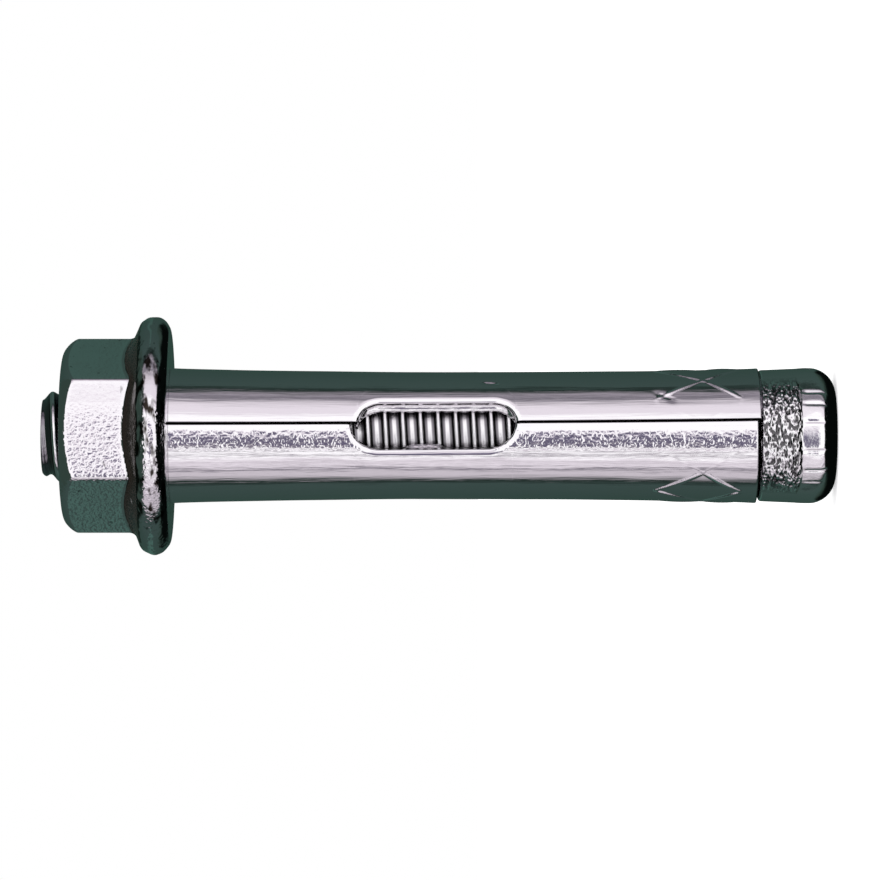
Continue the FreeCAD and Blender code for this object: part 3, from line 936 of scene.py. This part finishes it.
# Narrow gaps between the lights: the angle of each, half its width, and the tone in its middle
GAPS = [(-61, 5, GREY), (-48, 5, PALE), (-35, 4, MIDDLE)]
FLAG_GREEN = "#304039"
FLAG_BLACK = "#050807"
LIGHT_LEVEL = 1.2
FLAG_LOW, FLAG_HIGH = -50, 44
FLAG_LOW_RISE, FLAG_LOW_RISE_FADE = 38, (100, 135)
BLACK_FADE = 0.56, 0.74
DARK_FROM, DARK_TO = -27, 10
DARK_HALF_HEIGHT = 8
SIDE_BAND_FADE, SIDE_BAND_FROM, SIDE_BAND_TO = (94, 100), (4.4, 5.0), (14, 8)
SIDE_BAND_LIFT = 0.85, 0.42
SIDE_BAND_TINT = 0.75, 1.1, 1.0
TENT_RADIUS = 600
TENT_MIDDLE = 22
CAMERA_DISTANCE = 320
FOCAL_PIXELS = 5606
FRAME_PIXELS = 880
VIEW_CENTRE = (-0.245, 0, 22.54)
FLOOR_HALF_SIDE = 3.0
FLOOR_GLOW = 0.42
LAMP_PLACE = (0.18, -0.3, 0.4)
LAMP_SIZE = 0.25
LAMP_POWER = 0.35


def glow():
    """A printed surface that gives off the light of its own colours and takes none."""
    material = bpy.data.materials.new("tent_print")
    material.use_nodes = True
    tree = material.node_tree
    tree.nodes.clear()
    printed = add_node(tree, "ShaderNodeVertexColor", {"layer_name": "print"})
    colour = {"Color": printed.outputs["Color"]}
    light = add_node(tree, "ShaderNodeEmission", {"Strength": LIGHT_LEVEL}, colour)
    add_node(tree, "ShaderNodeOutputMaterial", links={"Surface": light.outputs["Emission"]})
    return material


def tent_colours(angle, rise):
    """Linear colours of the tent by angle from the camera's side and by rise over the horizon."""
    stops = [stop for stop, _ in HORIZON]
    codes = np.array([linear(code) for _, code in HORIZON])
    band = np.stack([np.interp(angle, stops, codes[:, channel]) for channel in range(3)], axis=-1)[None]
    for middle, half_width, code in GAPS:
        cover = np.clip(1 - np.abs(angle - middle) / half_width, 0, 1)[None, :, None]
        band = band + (np.array(linear(code)) - band) * cover
    in_strip = ((angle > DARK_FROM) & (angle < DARK_TO))[None, :, None]
    past_strip = smooth_step(DARK_HALF_HEIGHT - 1, DARK_HALF_HEIGHT + 2, np.abs(rise))[..., None]
    band = np.where(in_strip, band + (1 - band) * past_strip, band)
    side = smooth_step(*SIDE_BAND_FADE, np.abs(angle)) * np.where(angle < 0, *SIDE_BAND_LIFT)
    lift = smooth_step(*SIDE_BAND_FROM, rise) * smooth_step(*SIDE_BAND_TO, rise) * side[None, :]
    band = band * (1 + lift[..., None] * np.array(SIDE_BAND_TINT))
    green, black = np.array(linear(FLAG_GREEN)), np.array(linear(FLAG_BLACK))
    colour = band + (green - band) * smooth_step(FLAG_HIGH - 2, FLAG_HIGH + 2, rise)[..., None]
    sideways = np.abs(np.sin(np.radians(angle)))[None, :] * np.cos(np.radians(rise))
    under = green + (black - green) * (1 - smooth_step(*BLACK_FADE, sideways))[..., None]
    low = FLAG_LOW + FLAG_LOW_RISE * smooth_step(*FLAG_LOW_RISE_FADE, np.abs(angle))
    return colour + (under - colour) * smooth_step(low + 2, low - 2, rise)[..., None]


def make_tent():
    """The light tent that the metal reflects: a sphere round the anchor, seen by reflections alone.

    Its colour follows the horizon's list and the gaps, though the dark strip in front is low and has white
    above and below, and the flags at the sides are paler in a band just over the horizon. Over the upper
    edge it is flag green. Under the lower edge, which rises behind, it is green at the sides, and black in
    front and behind.
    """
    angle = np.linspace(-180, 180, 361)
    rise = np.linspace(-90, 90, 181)[:, None]
    turn = np.radians(rise)
    points = around(TENT_RADIUS * np.cos(turn), angle[None, :], TENT_MIDDLE + TENT_RADIUS * np.sin(turn))
    rows, columns = points.shape[:2]
    colour = tent_colours(angle, rise)
    mesh = bpy.data.meshes.new("light_tent")
    mesh.from_pydata((points.reshape(-1, 3) * MM).tolist(), [], grid_faces(rows, columns, closed=False))
    printed = mesh.color_attributes.new("print", "FLOAT_COLOR", "POINT")
    printed.data.foreach_set("color", np.insert(colour.reshape(-1, 3), 3, 1, axis=1).reshape(-1))
    mesh.materials.append(glow())
    tent = bpy.data.objects.new("light_tent", mesh)
    bpy.context.scene.collection.objects.link(tent)
    tent.visible_camera = False
    tent.visible_diffuse = False
    tent.visible_shadow = False


def make_floor():
    """A plain pale floor that meets the white behind it and leaves the reflections to the tent."""
    material = bpy.data.materials.new("floor_paper")
    material.use_nodes = True
    shader = material.node_tree.nodes["Principled BSDF"]
    shader.inputs["Base Color"].default_value = (*linear("#F0F0F0"), 1)
    shader.inputs["Roughness"].default_value = 0.9
    shader.inputs["Specular IOR Level"].default_value = 0
    shader.inputs["Emission Color"].default_value = (1, 1, 1, 1)
    shader.inputs["Emission Strength"].default_value = FLOOR_GLOW
    side = FLOOR_HALF_SIDE
    corners = [(-side, -side, 0), (side, -side, 0), (side, side, 0), (-side, side, 0)]
    mesh = bpy.data.meshes.new("floor")
    mesh.from_pydata(corners, [], [(0, 1, 2, 3)])
    mesh.materials.append(material)
    floor = bpy.data.objects.new("floor", mesh)
    bpy.context.scene.collection.objects.link(floor)
    floor.visible_glossy = False


def make_light():
    """White all round, at a level where a colour shows as written, and a broad lamp above in front."""
    scene = bpy.context.scene
    scene.world = bpy.data.worlds.new("studio")
    scene.world.use_nodes = True
    white = scene.world.node_tree.nodes["Background"]
    white.inputs["Color"].default_value = (1, 1, 1, 1)
    white.inputs["Strength"].default_value = 1
    lamp = bpy.data.lights.new("soft_key", "AREA")
    lamp.shape = "DISK"
    lamp.size = LAMP_SIZE
    lamp.energy = LAMP_POWER
    key = bpy.data.objects.new("soft_key", lamp)
    place = Vector(LAMP_PLACE)
    key.matrix_world = Matrix.Translation(place) @ place.to_track_quat("Z", "Y").to_matrix().to_4x4()
    key.visible_glossy = False
    scene.collection.objects.link(key)


def make_camera():
    """The photograph's view: level from -Y, turned a quarter so that the axis lies across the picture."""
    data = bpy.data.cameras.new("view")
    data.sensor_width = 36
    data.lens = FOCAL_PIXELS / FRAME_PIXELS * data.sensor_width
    camera = bpy.data.objects.new("view", data)
    ahead = Vector((0, 1, 0))
    up = Vector((1, 0, 0))
    right = ahead.cross(up)
    place = Vector(VIEW_CENTRE) * MM - ahead * CAMERA_DISTANCE * MM
    turn = Matrix((right, up, -ahead)).transposed().to_4x4()
    camera.matrix_world = Matrix.Translation(place) @ turn
    bpy.context.scene.collection.objects.link(camera)
    bpy.context.scene.camera = camera


def main():
    """The three pieces, and the studio round them."""
    make_stud(zinc_on_rolled_thread())
    make_sleeve(zinc_on_rolled_sheet())
    make_nut(zinc_on_formed_nut())
    make_floor()
    make_tent()
    make_light()
    make_camera()
    bpy.context.scene.view_settings.view_transform = "Standard"


main()
bpy.context.view_layer.update()
